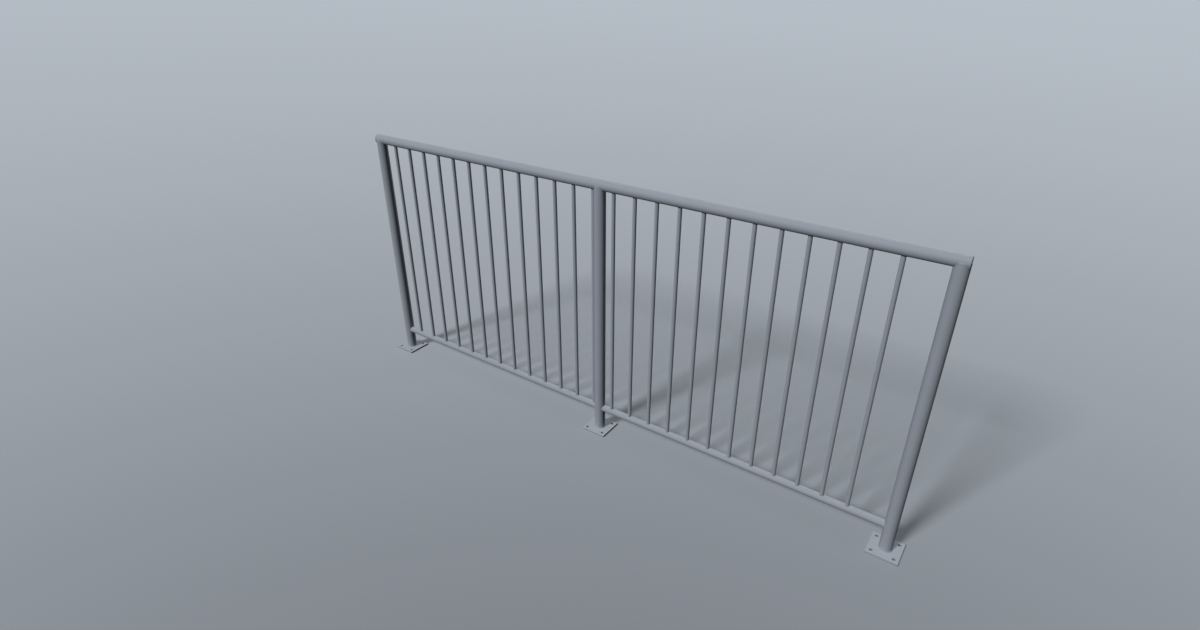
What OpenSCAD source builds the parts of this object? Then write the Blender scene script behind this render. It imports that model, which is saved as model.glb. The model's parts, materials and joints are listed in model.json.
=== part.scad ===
// Baluster railing: two bays of tubular steel guard rail on three posts.
// A round top rail lies in saddles cut in the post heads, a thinner rail
// runs low between the posts, and round bars stand between the two rails.
// +X runs along the railing, -Y is its front and +Z is up. The origin is
// the middle of the underside of the middle base plate.

/* [Railing] */
// Distance between the centre lines of two neighbouring posts
bay_length = 1200; // [900:10:1500]
// Height from the floor to the top of the top rail
rail_height = 1100; // [900:10:1200]

/* [Posts] */
// Outside diameter of the post tube
post_od = 45; // [42:0.5:60]
// Wall thickness of the post tube
post_wall = 2; // [1.5:0.1:3]

/* [Top rail] */
// Outside diameter of the top rail tube, a little less than the post's
top_rail_od = 40; // [34:0.5:41.5]
// Wall thickness of the top rail tube
top_rail_wall = 2; // [1.5:0.1:4]
// Thickness of the flat disc that closes each end of the top rail
cap_thickness = 3; // [2:0.5:5]

/* [Bottom rail] */
// Outside diameter of the bottom rail tube
bottom_rail_od = 28; // [20:0.5:40]
// Wall thickness of the bottom rail tube
bottom_rail_wall = 2; // [1.5:0.1:4]
// Height of the bottom rail's centre line over the floor
bottom_rail_z = 107; // [60:1:200]

/* [Balusters] */
// Diameter of the solid round bars
baluster_d = 15; // [10:0.5:18]
// Distance between the centre lines of two neighbouring bars
baluster_spacing = 90; // [60:1:110]
// Gap between the middle post and the bar that stands close beside it
post_gap = 0.25; // [0.1:0.05:10]
// Least distance from an end post's centre line to a bar's centre line
end_margin = 85; // [60:1:110]

/* [Base plates] */
// Side of the square base plate
plate_side = 110; // [100:1:160]
// Thickness of the base plate
plate_thickness = 8; // [5:0.5:15]
// Corner radius of the base plate
plate_corner_r = 2; // [1:0.5:10]
// Distance between two neighbouring anchor holes
hole_spacing = 76; // [70:1:84]
// Diameter of an anchor hole
hole_d = 11; // [8:0.5:12]

/* [Foot weld] */
// Leg length of the fillet weld round the foot of a post
weld_leg = 3; // [2:0.5:5]

/* [Hidden] */
TUBE_COLOUR = [0.56, 0.60, 0.65];
BAR_COLOUR = [0.50, 0.54, 0.59];
PLATE_COLOUR = [0.62, 0.65, 0.69];
CUT = 1;                             // overrun that keeps a cut clean
$fn = 96;

POST_R = post_od / 2;
TOP_RAIL_R = top_rail_od / 2;
BOTTOM_RAIL_R = bottom_rail_od / 2;
BALUSTER_R = baluster_d / 2;
TOP_RAIL_Z = rail_height - TOP_RAIL_R;

// The top rail's ends butt against the inside of the end posts' far walls
TOP_RAIL_END = bay_length + POST_R - post_wall;

// The bars are set out at one pitch through both bays, from the one that
// stands close beside the middle post, and stop short of the end posts
CLOSE_BAR_X = -(POST_R + post_gap + BALUSTER_R);
BAR_LIMIT = bay_length - end_margin;
BARS_LEFT = floor((BAR_LIMIT + CLOSE_BAR_X) / baluster_spacing);
BARS_RIGHT = floor((BAR_LIMIT - CLOSE_BAR_X) / baluster_spacing);
BAR_X = [for (k = [-BARS_LEFT : BARS_RIGHT]) CLOSE_BAR_X + k * baluster_spacing];
BARS = [for (i = [1 : len(BAR_X)]) str("baluster_", i < 10 ? "0" : "", i)];

PLACES = ["left", "middle", "right"];
PLACE_X = [-bay_length, 0, bay_length];

// A round tube that stands on z = 0
module tube(od, wall, length) {
    difference() {
        cylinder(h = length, d = od);
        translate([0, 0, -CUT]) cylinder(h = length + 2 * CUT, d = od - 2 * wall);
    }
}

// Lays what stands on z = 0 along +X, starting at x
module lay_along(x, z) {
    translate([x, 0, z]) rotate([0, 90, 0]) children();
}

// The full round of the top rail, as long as the rail itself, which shapes
// every end that meets it
module top_rail_round() {
    lay_along(-TOP_RAIL_END, TOP_RAIL_Z)
        cylinder(h = 2 * TOP_RAIL_END, r = TOP_RAIL_R);
}

// The full round of both bottom rails, which shapes the feet of the bars
module bottom_rail_round() {
    lay_along(-bay_length, bottom_rail_z)
        cylinder(h = 2 * bay_length, r = BOTTOM_RAIL_R);
}

// The full round of a post, which shapes the rail ends that meet it
module post_round(x) {
    translate([x, 0, 0]) cylinder(h = rail_height, r = POST_R);
}

// Square plate with four anchor holes; it rests on the floor
module base_plate(x) {
    inner = plate_side - 2 * plate_corner_r;
    color(PLATE_COLOUR)
    translate([x, 0, 0])
    linear_extrude(plate_thickness) difference() {
        union() {
            square([plate_side, inner], center = true);
            square([inner, plate_side], center = true);
            for (sx = [-1, 1], sy = [-1, 1])
                translate([sx, sy] * inner / 2) circle(r = plate_corner_r);
        }
        for (sx = [-1, 1], sy = [-1, 1])
            translate([sx, sy] * hole_spacing / 2) circle(d = hole_d);
    }
}

// Fillet weld in the corner between the post and its base plate
module foot_weld(x) {
    color(PLATE_COLOUR)
    translate([x, 0, plate_thickness])
    rotate_extrude() translate([POST_R, 0])
        polygon([[0, 0], [weld_leg, 0], [0, weld_leg]]);
}

// Post tube that stands on its plate. Its head reaches the centre line of
// the top rail and is notched to the rail's round, so that the rail lies in
// it to half its depth. Only the far wall of an end post keeps its full
// height: it stands before the rail's end.
module post(x) {
    color(TUBE_COLOUR)
    difference() {
        translate([x, 0, plate_thickness])
            tube(post_od, post_wall, TOP_RAIL_Z - plate_thickness);
        top_rail_round();
    }
}

// One tube over both bays, shortened by the discs that close its ends
module top_rail() {
    tube_end = TOP_RAIL_END - cap_thickness;
    color(TUBE_COLOUR)
    lay_along(-tube_end, TOP_RAIL_Z) tube(top_rail_od, top_rail_wall, 2 * tube_end);
}

// Disc welded over an open end of the top rail
module end_cap(x) {
    color(PLATE_COLOUR)
    lay_along(x, TOP_RAIL_Z) cylinder(h = cap_thickness, r = TOP_RAIL_R);
}

// Tube between two neighbouring posts, its ends coped to their round
module bottom_rail(left_post_x) {
    color(TUBE_COLOUR)
    difference() {
        lay_along(left_post_x, bottom_rail_z)
            tube(bottom_rail_od, bottom_rail_wall, bay_length);
        post_round(left_post_x);
        post_round(left_post_x + bay_length);
    }
}

// Solid round bar, its ends coped to the rails below and above it
module baluster(x) {
    color(BAR_COLOUR)
    difference() {
        translate([x, 0, bottom_rail_z])
            cylinder(h = TOP_RAIL_Z - bottom_rail_z, r = BALUSTER_R);
        bottom_rail_round();
        top_rail_round();
    }
}

for (i = [0 : len(PLACES) - 1]) {
    base_plate(PLACE_X[i]);
    foot_weld(PLACE_X[i]);
    post(PLACE_X[i]);
}
top_rail();
end_cap(-TOP_RAIL_END);  // left_end_cap
end_cap(TOP_RAIL_END - cap_thickness);  // right_end_cap
bottom_rail(-bay_length);  // left_bottom_rail
bottom_rail(0);  // right_bottom_rail
for (i = [0 : len(BARS) - 1]) {
    baluster(BAR_X[i]);
}
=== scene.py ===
import json
import math
from bisect import bisect_right
from itertools import accumulate

import bmesh
import bpy
from mathutils import Matrix, Vector


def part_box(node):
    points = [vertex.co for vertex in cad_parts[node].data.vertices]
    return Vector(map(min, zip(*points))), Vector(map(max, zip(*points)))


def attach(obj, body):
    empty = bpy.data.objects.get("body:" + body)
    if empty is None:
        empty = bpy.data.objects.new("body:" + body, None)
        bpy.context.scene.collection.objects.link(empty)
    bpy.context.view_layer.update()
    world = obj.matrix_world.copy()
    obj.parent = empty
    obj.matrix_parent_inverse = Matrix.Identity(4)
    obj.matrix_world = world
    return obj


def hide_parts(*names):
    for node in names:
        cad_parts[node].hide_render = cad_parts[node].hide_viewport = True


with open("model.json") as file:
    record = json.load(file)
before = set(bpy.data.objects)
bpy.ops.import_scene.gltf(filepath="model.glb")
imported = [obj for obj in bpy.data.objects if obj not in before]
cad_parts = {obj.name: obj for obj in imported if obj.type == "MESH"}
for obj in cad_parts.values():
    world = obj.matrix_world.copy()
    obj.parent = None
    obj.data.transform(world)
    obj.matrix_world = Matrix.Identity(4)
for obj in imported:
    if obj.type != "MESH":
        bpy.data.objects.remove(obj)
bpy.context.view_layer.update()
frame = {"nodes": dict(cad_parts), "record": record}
nodes = frame["nodes"]

# ------------------------------------------------------------- base plates
# Three square plates cut from thick steel flat, each with four open holes for
# floor anchors. They are coated after welding, together with all that stands
# on them, and the thick coat leaves their cut edges a little round.
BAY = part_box("right_post")[0].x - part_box("middle_post")[0].x
PLACES = {"left": -BAY, "middle": 0.0, "right": BAY}
PLATE_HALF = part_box("middle_base_plate")[1].x
PLATE_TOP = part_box("middle_base_plate")[1].z
anchors = next(mount["dims"] for mount in frame["record"]["mounts"]
               if mount["name"] == "middle_anchor_holes")
HOLE_OFFSET = anchors["spacing_x_mm"] / 2000
HOLE_RADIUS = anchors["hole_r_mm"] / 1000
CORNER_RADIUS = 0.002
EDGE_ROUND = 0.0007
COAT = (0.318, 0.354, 0.404, 1.0)
COAT_RUBBED = (0.42, 0.45, 0.49, 1.0)
DUST = (0.41, 0.445, 0.49, 1.0)
# Painted shade: a near-black laid on the anchor holes' walls so that the holes read dark.
HOLE_SHADE = (0.045, 0.050, 0.058, 1.0)
HOLE_SHADE_COVER = 0.35
CLOUD_SHARE, GRAIN_SHARE = 0.65, 0.35
MOTTLE_DULLS, RUBBING_SMOOTHS, DUST_DULLS = 0.35, 0.15, 0.5
PEEL_STRENGTH, PEEL_DEPTH = 0.6, 0.00012
GLOSS = 0.14
RIM_START, RIM_FULL = 0.0022, 0.0002
EDGE_CREASE = 12


def new_group(name, inputs, outputs):
    group = bpy.data.node_groups.new(name, "ShaderNodeTree")
    for title, kind, default in inputs:
        socket = group.interface.new_socket(title, in_out="INPUT", socket_type=kind)
        if default is not None:
            socket.default_value = default
    for title, kind in outputs:
        group.interface.new_socket(title, in_out="OUTPUT", socket_type=kind)
    return group, group.nodes.new("NodeGroupInput"), group.nodes.new("NodeGroupOutput")


def add(tree, kind, inputs=(), **settings):
    node = tree.nodes.new(kind)
    for key, value in settings.items():
        setattr(node, key, value)
    for socket, source in dict(inputs).items():
        if isinstance(source, bpy.types.NodeSocket):
            tree.links.new(source, node.inputs[socket])
        else:
            node.inputs[socket].default_value = source
    return node


def maths(tree, operation, a, b=0.0, clamp=False):
    return add(tree, "ShaderNodeMath", {0: a, 1: b}, operation=operation,
               use_clamp=clamp).outputs[0]


def rise(tree, value, low, high):
    """0 up to low, 1 from high on, and a smooth rise between them."""
    return add(tree, "ShaderNodeMapRange", {0: value, 1: low, 2: high},
               interpolation_type="SMOOTHSTEP").outputs[0]


def blend(tree, factor, a, b):
    return add(tree, "ShaderNodeMix", {0: factor, 6: a, 7: b}, data_type="RGBA").outputs[2]


def noise(tree, place, scale, detail=4.0, roughness=0.6):
    return add(tree, "ShaderNodeTexNoise", {"Vector": place, "Scale": scale, "Detail": detail,
                                            "Roughness": roughness}).outputs[0]


# The satin coat: a cloudy tone a hand's breadth across, and the faint orange
# peel that baked powder keeps.
coat, given, made = new_group(
    "satin_coat",
    [("Position", "NodeSocketVector", None), ("Colour", "NodeSocketColor", COAT),
     ("Mottle", "NodeSocketFloat", 0.08), ("Roughness", "NodeSocketFloat", 0.6)],
    [("Colour", "NodeSocketColor"), ("Roughness", "NodeSocketFloat"),
     ("Height", "NodeSocketFloat")])
cloud = noise(coat, given.outputs["Position"], scale=7.0)
grain = noise(coat, given.outputs["Position"], scale=90.0, detail=3.0, roughness=0.55)
mottling = maths(coat, "ADD", maths(coat, "MULTIPLY", cloud, CLOUD_SHARE),
                 maths(coat, "MULTIPLY", grain, GRAIN_SHARE))
swing = maths(coat, "SUBTRACT", mottling, 0.5)
strength = maths(coat, "MULTIPLY", swing, maths(coat, "MULTIPLY", given.outputs["Mottle"], 2.0))
shade = add(coat, "ShaderNodeVectorMath", {0: given.outputs["Colour"]}, operation="SCALE")
coat.links.new(maths(coat, "ADD", strength, 1.0), shade.inputs["Scale"])
coat.links.new(shade.outputs[0], made.inputs["Colour"])
uneven = maths(coat, "MULTIPLY", swing, MOTTLE_DULLS)
dulled = maths(coat, "ADD", given.outputs["Roughness"], uneven, clamp=True)
coat.links.new(dulled, made.inputs["Roughness"])
peel = noise(coat, given.outputs["Position"], scale=620.0, detail=2.0, roughness=0.5)
coat.links.new(peel, made.inputs["Height"])

# Coat rubbed thin where a mask says so: paler and a little smoother, and
# broken up so that no edge wears evenly.
rub, given, made = new_group(
    "rubbed_coat",
    [("Position", "NodeSocketVector", None), ("Colour", "NodeSocketColor", COAT),
     ("Roughness", "NodeSocketFloat", 0.6), ("Mask", "NodeSocketFloat", 0.0),
     ("Amount", "NodeSocketFloat", 0.3)],
    [("Colour", "NodeSocketColor"), ("Roughness", "NodeSocketFloat")])
scratches = noise(rub, given.outputs["Position"], scale=150.0, detail=6.0, roughness=0.7)
patches = rise(rub, scratches, low=0.42, high=0.60)
exposed = maths(rub, "MULTIPLY", given.outputs["Mask"], patches)
worn = maths(rub, "MULTIPLY", exposed, given.outputs["Amount"], clamp=True)
rub.links.new(blend(rub, worn, given.outputs["Colour"], COAT_RUBBED), made.inputs["Colour"])
polish = maths(rub, "MULTIPLY", worn, RUBBING_SMOOTHS)
smoothed = maths(rub, "SUBTRACT", given.outputs["Roughness"], polish, clamp=True)
rub.links.new(smoothed, made.inputs["Roughness"])

# Dust that settles on whatever faces up, in drifts.
dust, given, made = new_group(
    "settled_dust",
    [("Position", "NodeSocketVector", None), ("Colour", "NodeSocketColor", COAT),
     ("Roughness", "NodeSocketFloat", 0.6), ("Amount", "NodeSocketFloat", 0.1)],
    [("Colour", "NodeSocketColor"), ("Roughness", "NodeSocketFloat")])
normal = add(dust, "ShaderNodeNewGeometry").outputs["Normal"]
upward = add(dust, "ShaderNodeSeparateXYZ", {0: normal}).outputs["Z"]
patches = noise(dust, given.outputs["Position"], scale=26.0, detail=5.0, roughness=0.65)
drifts = rise(dust, patches, low=0.38, high=0.66)
lying = maths(dust, "MULTIPLY", rise(dust, upward, low=0.35, high=0.95), drifts)
cover = maths(dust, "MULTIPLY", lying, given.outputs["Amount"], clamp=True)
dust.links.new(blend(dust, cover, given.outputs["Colour"], DUST), made.inputs["Colour"])
grit = maths(dust, "MULTIPLY", cover, DUST_DULLS)
matted = maths(dust, "ADD", given.outputs["Roughness"], grit, clamp=True)
dust.links.new(matted, made.inputs["Roughness"])


def coated(name, roughness=0.62, mottle=0.08, dusting=0.1, rubbing=0.3, rubbed=None, hole_shade=None,
           tone=None):
    """Coated steel. rubbed, tone and the painted-shade mask each make a mask or a factor from the
    place.
    """
    material = bpy.data.materials.new(name)
    material.use_nodes = True
    tree = material.node_tree
    shader = tree.nodes["Principled BSDF"]
    shader.inputs["Specular IOR Level"].default_value = GLOSS
    place = add(tree, "ShaderNodeTexCoord").outputs["Object"]
    base = add(tree, "ShaderNodeGroup", node_tree=coat)
    base.inputs["Colour"].default_value = COAT
    base.inputs["Mottle"].default_value = mottle
    base.inputs["Roughness"].default_value = roughness
    tree.links.new(place, base.inputs["Position"])
    if tone is not None:
        toned = add(tree, "ShaderNodeVectorMath", {0: COAT[:3]}, operation="SCALE")
        tree.links.new(tone(tree, place), toned.inputs["Scale"])
        tree.links.new(toned.outputs[0], base.inputs["Colour"])
    latest = base
    for effect, amount in ((rub, rubbing), (dust, dusting)):
        layer = add(tree, "ShaderNodeGroup", node_tree=effect)
        layer.inputs["Amount"].default_value = amount
        tree.links.new(place, layer.inputs["Position"])
        for value in ("Colour", "Roughness"):
            tree.links.new(latest.outputs[value], layer.inputs[value])
        if effect == rub and rubbed is not None:
            tree.links.new(rubbed(tree, place), layer.inputs["Mask"])
        latest = layer
    colour = latest.outputs["Colour"]
    # Painted shade blended over the coat where the painted-shade mask says.
    if hole_shade is not None:
        colour = blend(tree, hole_shade(tree, place), colour, HOLE_SHADE)
    tree.links.new(colour, shader.inputs["Base Color"])
    tree.links.new(latest.outputs["Roughness"], shader.inputs["Roughness"])
    bump = add(tree, "ShaderNodeBump", {"Height": base.outputs["Height"]})
    bump.inputs["Strength"].default_value = PEEL_STRENGTH
    bump.inputs["Distance"].default_value = PEEL_DEPTH
    tree.links.new(bump.outputs[0], shader.inputs["Normal"])
    return material


def from_post(tree, place):
    """How far a place is from the nearest post's centre line, along the railing and across."""
    axes = add(tree, "ShaderNodeSeparateXYZ", {0: place}).outputs
    along = add(tree, "ShaderNodeMath", {0: axes[0], 1: BAY / 2, 2: -BAY / 2},
                operation="WRAP").outputs[0]
    return maths(tree, "ABSOLUTE", along), maths(tree, "ABSOLUTE", axes[1])


def plate_rims(tree, place):
    """The outermost band of a plate, down over its edge."""
    reach = maths(tree, "MAXIMUM", *from_post(tree, place))
    return rise(tree, reach, PLATE_HALF - RIM_START, PLATE_HALF - RIM_FULL)


def shaded_hole_walls(tree, place):
    """The walls of the anchor holes, darkened with painted shade."""
    across = [maths(tree, "SUBTRACT", way, HOLE_OFFSET) for way in from_post(tree, place)]
    squares = [maths(tree, "MULTIPLY", way, way) for way in across]
    apart = maths(tree, "SQRT", maths(tree, "ADD", *squares))
    clear = rise(tree, apart, HOLE_RADIUS, HOLE_RADIUS + EDGE_ROUND)
    return maths(tree, "MULTIPLY", maths(tree, "SUBTRACT", 1.0, clear), HOLE_SHADE_COVER)


def show(name, shape, material, replaced=None, crease=180):
    """Makes a finished shape a piece of the railing, smooth but for edges above crease."""
    for face in shape.faces:
        face.smooth = True
    mesh = bpy.data.meshes.new(name)
    shape.to_mesh(mesh)
    shape.free()
    mesh.set_sharp_from_angle(angle=math.radians(crease))
    mesh.materials.append(material)
    piece = bpy.data.objects.new(name, mesh)
    bpy.context.scene.collection.objects.link(piece)
    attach(piece, "root")
    if replaced:
        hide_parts(replaced)


def rounded_plate(x):
    """A square plate with four holes, its outlines drawn up into walls with round edges."""
    shape = bmesh.new()
    bmesh.ops.create_grid(shape, x_segments=1, y_segments=1, size=PLATE_HALF)
    bmesh.ops.bevel(shape, geom=shape.verts[:], offset=CORNER_RADIUS, segments=8, profile=0.5,
                    affect="VERTICES", material=-1)
    bmesh.ops.delete(shape, geom=shape.faces[:], context="FACES_ONLY")
    for way in ((1, 1), (1, -1), (-1, 1), (-1, -1)):
        hole = Matrix.Translation(Vector((*way, 0)) * HOLE_OFFSET)
        bmesh.ops.create_circle(shape, segments=48, radius=HOLE_RADIUS, matrix=hole)

    low = [EDGE_ROUND * (1 - math.cos(math.radians(turn))) for turn in (0, 30, 60, 90)]
    heights = low + [PLATE_TOP - height for height in reversed(low)]
    rims = [shape.edges[:]]
    for below, above in zip(heights, heights[1:]):
        grown = bmesh.ops.extrude_edge_only(shape, edges=rims[-1])["geom"]
        raised = [item for item in grown if isinstance(item, bmesh.types.BMVert)]
        bmesh.ops.translate(shape, verts=raised, vec=(0, 0, above - below))
        rims.append([edge for edge in shape.edges if set(edge.verts) <= set(raised)])

    for point in shape.verts:
        from_face = min(point.co.z, PLATE_TOP - point.co.z)
        near = min(max(EDGE_ROUND - from_face, 0.0), EDGE_ROUND)
        inset = EDGE_ROUND - math.sqrt(EDGE_ROUND ** 2 - near ** 2)
        quarter = Vector((math.copysign(1, point.co.x), math.copysign(1, point.co.y), 0))
        flat = Vector((point.co.x, point.co.y, 0))
        from_hole = flat - quarter * HOLE_OFFSET
        from_corner = flat - quarter * (PLATE_HALF - CORNER_RADIUS)
        on_hole = from_hole.length < 2 * HOLE_RADIUS
        if on_hole:
            point.co += from_hole.normalized() * inset
        else:
            point.co -= from_corner.normalized() * inset
    for rim in (rims[0], rims[-1]):
        bmesh.ops.triangle_fill(shape, edges=rim, use_beauty=True, normal=(0, 0, 1))
    shape.normal_update()
    bmesh.ops.recalc_face_normals(shape, faces=shape.faces)
    bmesh.ops.translate(shape, verts=shape.verts, vec=(x, 0, 0))
    return shape


def give_coat(names, material):
    for name in names:
        nodes[name].data.materials.clear()
        nodes[name].data.materials.append(material)


plate_coat = coated("coated_plate", roughness=0.66, dusting=0.2, rubbing=0.4, rubbed=plate_rims,
                    hole_shade=shaded_hole_walls)
for place, x in PLACES.items():
    show(place + "_plate", rounded_plate(x), plate_coat, place + "_base_plate",
         crease=EDGE_CREASE)

# -------------------------------------------------------------- foot welds
# A fillet weld runs once round each post where it stands on its plate. The
# welder laid it in short overlapping puddles, and the coat follows them.
POST_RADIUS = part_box("middle_post")[1].x
PUDDLE = 0.0026
SECTIONS_A_PUDDLE = 4
CORNER_POINTS = 720
EASINGS = 8
RIPPLE, RIPPLE_LAG = 0.09, 1.4
SAME_PLACE = 1e-6
FOOT_BEAD = (0.0028, 0.0018)
FOOT_INSET = 0.0005
Z_AXIS = Vector((0, 0, 1))


def paced(corner, start, sweep):
    """Places at one pace along a corner, each with the way out of it there."""
    track = [corner(start + sweep * part / CORNER_POINTS) for part in range(CORNER_POINTS + 1)]
    laid = [0.0, *accumulate((b[0] - a[0]).length for a, b in zip(track, track[1:]))]
    steps = SECTIONS_A_PUDDLE * round(laid[-1] / PUDDLE)
    places = []
    for step in range(steps + 1):
        length = laid[-1] * step / steps
        after = min(bisect_right(laid, length), CORNER_POINTS)
        share = (length - laid[after - 1]) / (laid[after] - laid[after - 1])
        places.append([a.lerp(b, share) for a, b in zip(track[after - 1], track[after])])
    return places


def sections_along(corner, start, sweep, whole):
    """A bead's sections along a corner, its sharp turns eased: each is the place, the way
    across the bead and the way out of the corner."""
    places = paced(corner, start, sweep)
    last = len(places) - 1
    if whole:
        beside = [((step - 1) % last, (step + 1) % last) for step in range(last + 1)]
    else:
        beside = [(max(step - 1, 0), min(step + 1, last)) for step in range(last + 1)]
    for _ in range(EASINGS):
        places = [[here / 2 + (a + b) / 4
                   for a, here, b in zip(places[before], place, places[after])]
                  for place, (before, after) in zip(places, beside)]
    sections = []
    for (place, opening), (before, after) in zip(places, beside):
        run = places[after][0] - places[before][0]
        across = run.cross(opening).normalized()
        sections.append((place, across, across.cross(run).normalized()))
    return sections


def bead(corner, size, start=0.0, sweep=2 * math.pi, sides=8):
    """A rippled weld bead: a ring spun round Z, then laid along a corner. corner(angle) gives
    a place on it and the way out of it. size is the bead's half width and its height."""
    whole = sweep == 2 * math.pi
    sections = sections_along(corner, start, sweep, whole)
    steps = len(sections) - 1
    thick = 0.25
    nudge = 1e-4
    shape = bmesh.new()
    bmesh.ops.create_circle(shape, segments=sides, radius=thick)
    bmesh.ops.rotate(shape, verts=shape.verts, matrix=Matrix.Rotation(math.pi / 2, 3, "X"))
    bmesh.ops.translate(shape, verts=shape.verts, vec=(1, 0, 0))
    bmesh.ops.spin(shape, geom=shape.verts[:] + shape.edges[:], cent=(0, 0, 0), axis=(0, 0, 1),
                   angle=sweep, steps=steps, use_merge=whole)
    bmesh.ops.remove_doubles(shape, verts=shape.verts, dist=SAME_PLACE)
    if not whole:
        bmesh.ops.holes_fill(shape, edges=shape.edges, sides=0)

    for point in shape.verts:
        turned = (math.atan2(point.co.y, point.co.x) + nudge) % (2 * math.pi)
        step = round(turned / sweep * steps)
        wide = (math.hypot(point.co.x, point.co.y) - 1) / thick
        proud = point.co.z / thick
        wave = 2 * math.pi * step / SECTIONS_A_PUDDLE - RIPPLE_LAG * proud
        ripple = RIPPLE * math.cos(wave)
        place, across, out = sections[step]
        point.co = (place + across * wide * size[0] * (1 + ripple / 3)
                    + out * proud * size[1] * (1 + ripple))
    shape.normal_update()
    bmesh.ops.recalc_face_normals(shape, faces=shape.faces)
    return shape


def weld(name, beads, replaced=None):
    """One piece of the railing from several beads."""
    joined = bmesh.new()
    for shape in beads:
        mesh = bpy.data.meshes.new("bead")
        shape.to_mesh(mesh)
        shape.free()
        joined.from_mesh(mesh)
        bpy.data.meshes.remove(mesh)
    show(name, joined, weld_coat, replaced)


def on_plate(centre):
    """The corner between an upright post and its plate."""
    def corner(angle):
        away = Vector((math.cos(angle), math.sin(angle), 0))
        return centre + away * POST_RADIUS + (away + Z_AXIS) * FOOT_INSET, away + Z_AXIS
    return corner


weld_coat = coated("coated_weld", roughness=0.64, mottle=0.1, dusting=0.08, rubbing=0.0)
for place, x in PLACES.items():
    weld(place + "_foot_bead",
         [bead(on_plate(Vector((x, 0, PLATE_TOP))), FOOT_BEAD, sides=12)],
         place + "_foot_weld")

# ------------------------------------------------------------------- posts
# Round steel tube, cut to a saddle at the head so that the top rail lies in
# it to half its depth. The lowest hand's breadth takes knocks from feet.
SCUFF_LOW, SCUFF_HIGH = 0.03, 0.22
SCUFF = 0.55


def scuffed_foot(tree, place):
    height = add(tree, "ShaderNodeSeparateXYZ", {0: place}).outputs[2]
    above = rise(tree, height, SCUFF_LOW, SCUFF_HIGH)
    return maths(tree, "MULTIPLY", maths(tree, "SUBTRACT", 1.0, above), SCUFF)


give_coat([place + "_post" for place in PLACES],
          coated("coated_post", dusting=0.1, rubbing=0.35, rubbed=scuffed_foot))

# ---------------------------------------------------------------- top rail
# One tube over both bays, closed by a welded disc at each end whose rim shows
# as a fine seam. It lies in the posts' saddles and is welded to them all
# round. Hands keep its upper side a little smoother than the rest.
RAIL_LOW, RAIL_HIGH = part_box("top_rail")
RAIL_RADIUS = (RAIL_HIGH.z - RAIL_LOW.z) / 2
RAIL_Z = (RAIL_HIGH.z + RAIL_LOW.z) / 2
RAIL_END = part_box("right_end_cap")[1].x
RIM_TURN = math.radians(40)
HANDLING = 0.35
HEAD_BEAD = (0.0014, 0.0008)
X_AXIS = Vector((1, 0, 0))


def handled_top(tree, place):
    facing = add(tree, "ShaderNodeNewGeometry").outputs["Normal"]
    up = add(tree, "ShaderNodeSeparateXYZ", {0: facing}).outputs["Z"]
    return maths(tree, "MULTIPLY", rise(tree, up, low=0.2, high=0.9), HANDLING)


def rounded_cap(node):
    """The closing disc with its two rims rounded, from the CAD's own disc."""
    shape = bmesh.new()
    shape.from_mesh(nodes[node].data)
    bmesh.ops.remove_doubles(shape, verts=shape.verts, dist=SAME_PLACE)
    bmesh.ops.dissolve_limit(shape, angle_limit=math.radians(1), verts=shape.verts,
                             edges=shape.edges)
    rims = [edge for edge in shape.edges if edge.calc_face_angle() > RIM_TURN]
    bmesh.ops.bevel(shape, geom=rims, offset=EDGE_ROUND, segments=3, profile=0.5,
                    affect="EDGES", material=-1)
    return shape


def on_round(centre, towards, main, radius, main_radius):
    """The corner where a round branch meets a round main member. centre is on the main
    member's axis, and the branch leaves it towards one side. A branch wider than the main
    member ends in a ledge beside it, and the corner runs level along that ledge."""
    across = towards.cross(main)

    def corner(angle):
        away = main * math.cos(angle) + across * math.sin(angle)
        side = radius * math.sin(angle)
        if abs(side) > main_radius:
            side, opening = math.copysign(main_radius, side), -towards
        else:
            opening = away
        surface = towards * math.sqrt(main_radius ** 2 - side ** 2) + across * side
        place = centre + surface + main * radius * math.cos(angle)
        return place, opening + surface / main_radius
    return corner


rail_coat = coated("coated_top_rail", roughness=0.64, mottle=0.07, dusting=0.05, rubbing=0.25,
                   rubbed=handled_top)
give_coat(["top_rail"], rail_coat)
for side in ("left", "right"):
    node = side + "_end_cap"
    show(side + "_cap", rounded_cap(node), rail_coat, node, crease=EDGE_CREASE)

# At an end post the far wall stands up before the rail's end, so the bead
# stops at that wall's edges.
WALL_EDGE = math.acos((RAIL_END - BAY) / POST_RADIUS)
for place, x in PLACES.items():
    corner = on_round(Vector((x, 0, RAIL_Z)), -Z_AXIS, X_AXIS, POST_RADIUS, RAIL_RADIUS)
    if x == 0.0:
        shape = bead(corner, HEAD_BEAD)
    else:
        outwards = 0.0 if x > 0 else math.pi
        shape = bead(corner, HEAD_BEAD, outwards + WALL_EDGE, 2 * math.pi - 2 * WALL_EDGE)
    weld(place + "_head_bead", [shape])

# ------------------------------------------------------------ bottom rails
# A thinner tube between each pair of posts, coped to their round and welded
# to them at both ends. Dust lies along its top and shoes mark its front.
LOW_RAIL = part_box("right_bottom_rail")
LOW_RADIUS = (LOW_RAIL[1].z - LOW_RAIL[0].z) / 2
LOW_Z = (LOW_RAIL[1].z + LOW_RAIL[0].z) / 2
END_BEAD = (0.0015, 0.0009)

give_coat(["left_bottom_rail", "right_bottom_rail"],
          coated("coated_bottom_rail", roughness=0.64, mottle=0.09, dusting=0.16, rubbing=0.3,
                 rubbed=scuffed_foot))
weld("bottom_rail_beads",
     [bead(on_round(Vector((x, 0, LOW_Z)), towards * X_AXIS, Z_AXIS, LOW_RADIUS, POST_RADIUS),
           END_BEAD)
      for x, towards in ((-BAY, 1), (0.0, -1), (0.0, 1), (BAY, -1))])

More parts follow.
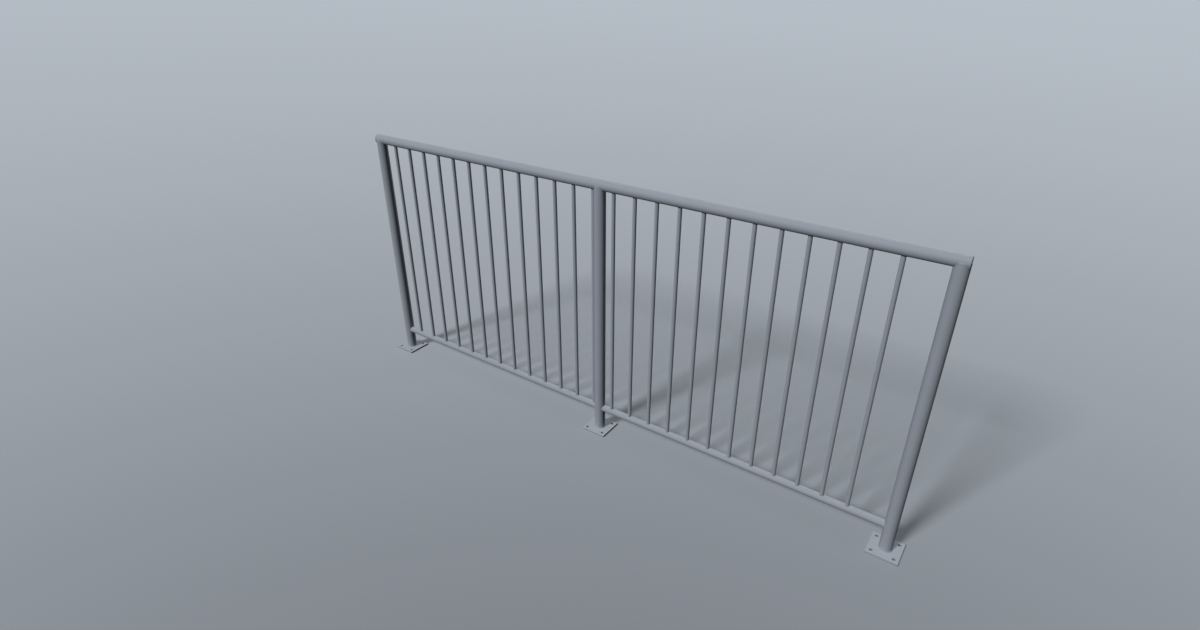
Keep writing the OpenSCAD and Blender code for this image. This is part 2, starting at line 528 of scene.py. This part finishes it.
# --------------------------------------------------------------- balusters
# Solid round bars, one size and one pitch throughout, coped at both ends to
# the rails and welded round each end. Each was cut from stock, so its tone
# differs a touch from its neighbour's.
BARS = sorted(name for name in nodes if name.startswith("baluster_"))
BAR_X = [(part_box(name)[0].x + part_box(name)[1].x) / 2 for name in BARS]
BAR_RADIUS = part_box(BARS[0])[1].y
BAR_BEAD = (0.0013, 0.0008)
TONE_SPREAD = 0.06


def own_tone(tree, place):
    """A factor that is the same all over a bar and differs from bar to bar."""
    along = add(tree, "ShaderNodeSeparateXYZ", {0: place}).outputs[0]
    steps = maths(tree, "DIVIDE", maths(tree, "SUBTRACT", along, BAR_X[0]),
                  BAR_X[1] - BAR_X[0])
    number = maths(tree, "FLOOR", maths(tree, "ADD", steps, 0.5))
    stock = add(tree, "ShaderNodeTexWhiteNoise", {"W": number},
                noise_dimensions="1D").outputs[0]
    return maths(tree, "ADD", maths(tree, "MULTIPLY", stock, TONE_SPREAD), 1.0)


give_coat(BARS, coated("coated_bar", rubbing=0.3, rubbed=scuffed_foot, tone=own_tone))
for bay, side in (("left_bay", -1), ("right_bay", 1)):
    beads = []
    for x in BAR_X:
        if x * side > 0:
            foot, head = Vector((x, 0, LOW_Z)), Vector((x, 0, RAIL_Z))
            beads.append(bead(on_round(foot, Z_AXIS, X_AXIS, BAR_RADIUS, LOW_RADIUS), BAR_BEAD))
            beads.append(bead(on_round(head, -Z_AXIS, X_AXIS, BAR_RADIUS, RAIL_RADIUS), BAR_BEAD))
    weld(bay + "_bar_beads", beads)

# ----------------------------------------------------- floor, light, camera
# A plain pale felt floor. Its nap catches the light at a low angle, so it is
# paler far off than near. It throws little light back, so that the sides
# turned from the key stay dark, and it still takes the railing's shadow.
FLOOR_HALF = 60.0
PALE = (0.411, 0.449, 0.498, 1.0)
FELT = (0.009, 0.010, 0.011, 1.0)
NAP = (0.823, 0.903, 1.0, 1.0)
SKY = (0.80, 0.90, 1.0, 1.0)
LITTLE = (0.030, 0.034, 0.039, 1.0)
ground = bmesh.new()
bmesh.ops.create_grid(ground, x_segments=1, y_segments=1, size=FLOOR_HALF)
floor_mesh = bpy.data.meshes.new("floor")
ground.to_mesh(floor_mesh)
ground.free()
floor = bpy.data.objects.new("floor", floor_mesh)
bpy.context.scene.collection.objects.link(floor)


def seen_directly(tree):
    """1 for rays from the camera and for those in a reflection or through glass."""
    rays = add(tree, "ShaderNodeLightPath").outputs
    mirrored = maths(tree, "MAXIMUM", rays["Is Glossy Ray"], rays["Is Transmission Ray"])
    return maths(tree, "MAXIMUM", rays["Is Camera Ray"], mirrored)


floor_material = bpy.data.materials.new("pale_floor")
floor_material.use_nodes = True
tree = floor_material.node_tree
tree.nodes.clear()
unseen = add(tree, "ShaderNodeBsdfDiffuse", {"Color": LITTLE})
seen = add(tree, "ShaderNodeBsdfPrincipled",
           {"Base Color": FELT, "Roughness": 1.0, "Specular IOR Level": 0.0,
            "Sheen Weight": 0.88, "Sheen Roughness": 0.9, "Sheen Tint": NAP})
mixed = add(tree, "ShaderNodeMixShader",
            {0: seen_directly(tree), 1: unseen.outputs[0], 2: seen.outputs[0]})
add(tree, "ShaderNodeOutputMaterial", {"Surface": mixed.outputs[0]})
floor_mesh.materials.append(floor_material)

world = bpy.data.worlds.new("studio")
bpy.context.scene.world = world
world.use_nodes = True
tree = world.node_tree
tree.nodes.clear()
soft = add(tree, "ShaderNodeBackground", {"Color": SKY, "Strength": 0.012})
wall = add(tree, "ShaderNodeBackground", {"Color": PALE, "Strength": 1.1})
mixed = add(tree, "ShaderNodeMixShader",
            {0: seen_directly(tree), 1: soft.outputs[0], 2: wall.outputs[0]})
add(tree, "ShaderNodeOutputWorld", {"Surface": mixed.outputs[0]})


def lamp(name, azimuth, elevation, strength, spread, shadow=True):
    light = bpy.data.lights.new(name, "SUN")
    light.energy = strength
    light.angle = math.radians(spread)
    light.use_shadow = shadow
    holder = bpy.data.objects.new(name, light)
    bpy.context.scene.collection.objects.link(holder)
    turn = Matrix.Rotation(math.radians(azimuth), 3, "Z")
    tilt = Matrix.Rotation(math.radians(-elevation), 3, "Y")
    towards = turn @ tilt @ X_AXIS
    holder.rotation_euler = towards.to_track_quat("Z", "Y").to_euler()


lamp("key", azimuth=254, elevation=40.2, strength=2.53, spread=12)
lamp("back", azimuth=100, elevation=32, strength=1.58, spread=30, shadow=False)
lamp("overhead", azimuth=0, elevation=90, strength=0.32, spread=60)

eye = bpy.data.cameras.new("camera")
eye.sensor_width = 36.0
eye.sensor_fit = "HORIZONTAL"
eye.lens = 20.266
eye.clip_end = 200.0
camera = bpy.data.objects.new("camera", eye)
camera.location = (1.3583, -1.9399, 1.8087)
camera.rotation_euler = (math.radians(62.0), 0.0, math.radians(35.0))
bpy.context.scene.collection.objects.link(camera)
bpy.context.scene.camera = camera
bpy.context.scene.view_settings.view_transform = "Standard"
